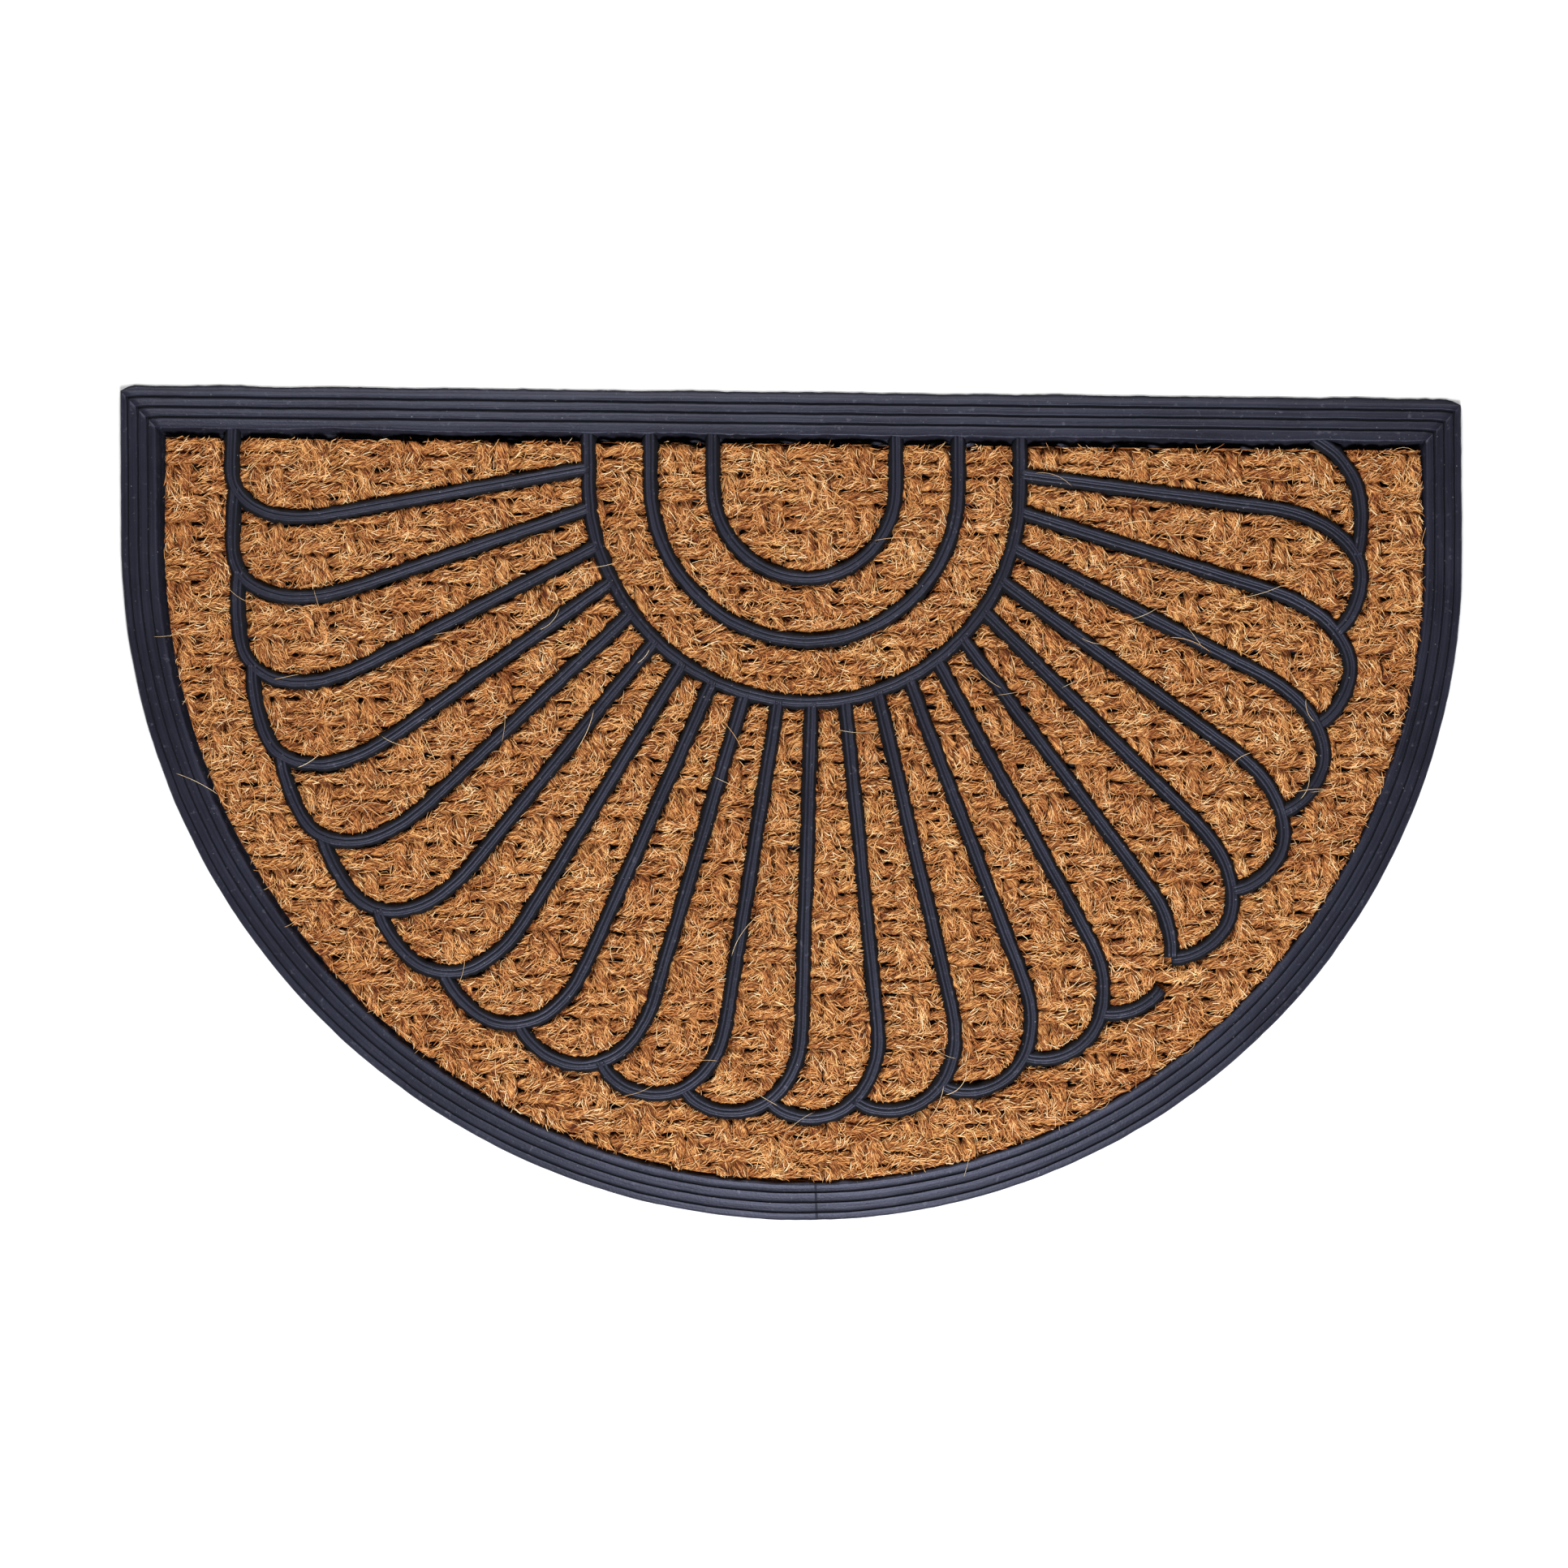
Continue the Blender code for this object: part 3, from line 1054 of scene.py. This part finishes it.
# ranges of length, lift and thickness, how far it may hang over the border, and its points' shares
Fibre = namedtuple("Fibre", "length lift thick overhang shares")
LAID = Fibre((0.0042, 0.0100), (0.0, 0.0008), (0.7, 1.25), 0.0010, (0.0, 0.28, 0.72, 1.0))
WILD = Fibre((0.007, 0.022), (0.0003, 0.0012), (0.45, 0.75), 0.0030, (0.0, 0.08, 0.29, 0.5, 0.71, 0.92, 1.0))
WILD_SHARE = 0.05
# Fibres fill most of the gaps between the yarns up to this height, and leave the open ones bare
GAP_FILL = 0.0060
OPEN_SHARE = -0.26
OPEN_GAP = 0.0035
BARE_SHARE = 0.7
# A fibre stops at a distance in this range from the middle of a rib
STOP_AT_RIB = (0.0030, 0.0042)
LOWEST_FIBRE = COIR_BOTTOM + 0.001
END_SUNK = 0.00015
STRAY_POINTS = 10
STRAY_LENGTH = (0.010, 0.032)
STRAY_LIFT = (0.0004, 0.0012)
STRAY_THICK = (0.35, 0.65)
STRAY_CLEARANCE = 0.0002
STRAY_LIMIT = 0.004
NEAR_RIB = 0.010
NEAR_BORDER = 0.008


def cloth_top(along, down):
    """Height of the cloth's upper side at a place, and whether a weft yarn is on top."""
    row = int((down - WEFT_START) // WEFT_PAIR)
    column = int((along - WARP_START) // WARP_PAIR)
    off_weft = abs(abs(down - row_middle(row)) - WEFT_APART) / WEFT_HALF
    off_warp = abs(abs(along - column_middle(column)) - WARP_APART) / WARP_HALF
    weft = weft_height(along, row) + YARN_HALF_HEIGHT * sqrt(max(0.0, 1 - off_weft * off_weft))
    warp = warp_height(down, column) + YARN_HALF_HEIGHT * sqrt(max(0.0, 1 - off_warp * off_warp))
    gap = GAP_FILL if ripple(along * 75, down * 75, 6.0) > OPEN_SHARE else COIR_BOTTOM
    if off_weft > 1:
        weft = gap
    if off_warp > 1:
        warp = gap
    return max(weft, warp), weft >= warp


def drawn_place(draw):
    reach = HALF_WIDTH - COIR_INSET
    return draw.uniform(-reach, reach), draw.uniform(COIR_INSET, DEPTH - COIR_INSET)


def wild_course(draw):
    """Heading, length, bend, lift and shade of a fibre that sticks out of its yarn."""
    heading = draw.uniform(0, 2 * pi)
    length = draw.uniform(*WILD.length)
    bend = draw.gauss(0, 1.3)
    lift = draw.uniform(*WILD.lift)
    return heading, length, bend, lift, draw.gauss(0.66, 0.16)


def laid_course(draw, along, down, on_weft):
    """Heading, length, bend, lift and shade of a fibre that lies with others along its yarn."""
    if on_weft:
        kind = 3.0
        heading = -0.20 + 1.1 * ripple(along * 70, down * 190, kind)
    else:
        kind = 8.0
        heading = pi / 2 - 0.28 + 1.1 * ripple(along * 190, down * 70, kind)
    heading += draw.gauss(0, 0.34)
    length = draw.uniform(*LAID.length)
    bend = draw.gauss(1.4 * ripple(along * 120, down * 120, kind + 9.0), 1.1)
    lift = draw.uniform(*LAID.lift)
    lock = ripple(along * 260, down * 260, kind + 5.0)
    # painted light: besides its own tone and its bundle's, a laid fibre is given a lighter shade the higher
    # it is lifted
    return heading, length, bend, lift, draw.gauss(0.48 + 0.30 * lock + 0.12 * lift / LAID.lift[1], 0.21)


def fibre_points(fibre, at, course, edge, overhang, press):
    """Points of a fibre over the cloth, or nothing where a rib or the border is too near."""
    heading, length, bend, lift, _ = course
    flat = []
    heights = []
    for share, following in zip(fibre.shares, fibre.shares[1:] + (1.0,)):
        distance = press.distance(at)
        stopped = distance < edge or not inside(at, COIR_INSET - overhang)
        if stopped:
            if len(flat) < 2:
                return None
            at = at.lerp(flat[-1], 0.5)
            distance = press.distance(at)
        top, _ = cloth_top(*on_cloth(at))
        arch = 4 * share * (1 - share)
        flat.append(at)
        heights.append(max(pressed(top, distance), LOWEST_FIBRE) + lift * arch - END_SUNK * (1 - arch))
        if stopped:
            break
        step = following - share
        at = at + Vector((cos(heading), sin(heading))) * (length * step)
        heading += bend * step
    for index in range(1, len(heights) - 1):
        heights[index] = max(heights[index], (heights[index - 1] + heights[index + 1]) / 2)
    return [place(point, height) for point, height in zip(flat, heights)]


def one_hair(draw, press):
    """Points, thickness and shade of one fibre on the cloth, or nothing where none can lie."""
    at = drawn_place(draw)
    if not inside(at, COIR_INSET):
        return None
    along, down = on_cloth(at)
    top, on_weft = cloth_top(along, down)
    wild = draw.random() < WILD_SHARE
    if top < OPEN_GAP and not wild and draw.random() < BARE_SHARE:
        return None
    fibre = WILD if wild else LAID
    course = wild_course(draw) if wild else laid_course(draw, along, down, on_weft)
    edge = draw.uniform(*STOP_AT_RIB)
    overhang = draw.uniform(0.0, fibre.overhang)
    points = fibre_points(fibre, Vector(at), course, edge, overhang, press)
    return points and (points, draw.uniform(*fibre.thick), course[-1])


def rubber_top(point, distance):
    """Height of the rubber under a place."""
    across, down = point
    inset = min(down, HALF_WIDTH - abs(across))
    if down > STRAIGHT_SIDE:
        inset = HALF_WIDTH - hypot(across, down - STRAIGHT_SIDE)
    if inset < BANDS_END + 0.001:
        return BANDS_LOW + (BANDS_HIGH - BANDS_LOW) * inset / BANDS_END
    return RIB_TOP if distance < RIB_HALF else BACKING_TOP


def one_stray(draw, press):
    """Points, thickness and shade of a long fibre that has come loose near a rib or the border."""
    at = Vector(drawn_place(draw))
    near_rubber = press.distance(at) < NEAR_RIB or not inside(at, COIR_INSET + NEAR_BORDER)
    if not inside(at, COIR_INSET) or not near_rubber:
        return None
    heading = draw.uniform(0, 2 * pi)
    bend = draw.gauss(0, 0.08)
    length = draw.uniform(*STRAY_LENGTH)
    lift = draw.uniform(*STRAY_LIFT)
    flat = []
    heights = []
    for index in range(STRAY_POINTS):
        if not inside(at, STRAY_LIMIT):
            return None
        share = index / (STRAY_POINTS - 1)
        top = rubber_top(at, press.distance(at))
        if inside(at, COIR_INSET):
            top = max(top, pressed(cloth_top(*on_cloth(at))[0], press.distance(at)))
        flat.append(at)
        heights.append(top + STRAY_CLEARANCE + lift * 4 * share * (1 - share))
        at = at + Vector((cos(heading), sin(heading))) * (length / (STRAY_POINTS - 1))
        heading += bend
    for _ in range(3):
        level = [(before + after) / 2 for before, after in zip(heights, heights[2:])]
        heights[1:-1] = [max(pair) for pair in zip(heights[1:-1], level)]
    points = [place(point, height) for point, height in zip(flat, heights)]
    return points, draw.uniform(*STRAY_THICK), draw.gauss(0.92, 0.10)


def hair_section():
    """The small triangle that is every fibre's section."""
    data = bpy.data.curves.new("hair_section", "CURVE")
    data.dimensions = "2D"
    section = data.splines.new("POLY")
    section.points.add(2)
    for index in range(3):
        angle = -2 * pi * index / 3
        section.points[index].co = (HAIR_RADIUS * cos(angle), HAIR_RADIUS * sin(angle), 0.0, 1.0)
    section.use_cyclic_u = True
    return new_object("hair_section", data)


def strand_mesh(name, curve):
    """The mesh of lines that carry the section, with its three corners at every point."""
    section = hair_section()
    curve.bevel_mode = "OBJECT"
    curve.bevel_object = section
    strands = new_object(name + "_lines", curve)
    depsgraph = bpy.context.evaluated_depsgraph_get()
    data = bpy.data.meshes.new_from_object(strands.evaluated_get(depsgraph))
    bpy.data.objects.remove(strands)
    bpy.data.objects.remove(section)
    return data


def make_hairs(name, draw, press):
    curve = bpy.data.curves.new(name, "CURVE")
    curve.dimensions = "3D"
    shades = []
    made = 0
    while made < HAIRS_A_PIECE:
        hair = one_stray(draw, press) if made < STRAYS_A_PIECE else one_hair(draw, press)
        if not hair:
            continue
        points, thick, shade = hair
        spline = curve.splines.new("POLY")
        spline.points.add(len(points) - 1)
        spline.points.foreach_set("co", [number for point in points for number in (*point, 1.0)])
        spline.points.foreach_set("radius", [0.0] + [thick] * (len(points) - 2) + [0.0])
        shades += [min(1.0, max(0.0, shade))] * (3 * len(points))
        made += 1
    data = strand_mesh(name, curve)
    layer = data.attributes.new("shade", "FLOAT", "POINT")
    layer.data.foreach_set("value", shades)
    mesh = bmesh.new()
    mesh.from_mesh(data)
    bpy.data.meshes.remove(data)
    bmesh.ops.remove_doubles(mesh, verts=mesh.verts, dist=HAIR_WELD)
    return finished_mesh(mesh, name)


def make_coir(paths):
    press = Press(paths)
    yarn = yarn_finish()
    weft_lines = cut_yarns(weft_points, ceil((DEPTH - WEFT_START) / WEFT_PAIR))
    warp_lines = cut_yarns(warp_points, ceil((WARP_END - WARP_START) / WARP_PAIR))
    weft = dress(make_yarns("coir_weft", weft_lines, WEFT_HALF, press), yarn)
    warp = dress(make_yarns("coir_warp", warp_lines, WARP_HALF, press), yarn)
    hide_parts("coir_panel")
    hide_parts("coir_panel")
    draw = random.Random(11)
    fibre = hair_finish()
    for number in range(HAIR_PIECES):
        dress(make_hairs(f"coir_hair_{number + 1}", draw, press), fibre)


make_camera()
make_studio()
rubber = rubber_finish()
make_border(rubber)
rib_paths = [arch_path(radius) for radius in ARCH_RADII] + fan_paths()
rib_paths = [rounded(evenly(path, SMOOTHED_STEP)) for path in rib_paths]
make_ribs(rubber, rib_paths)
make_coir(rib_paths)
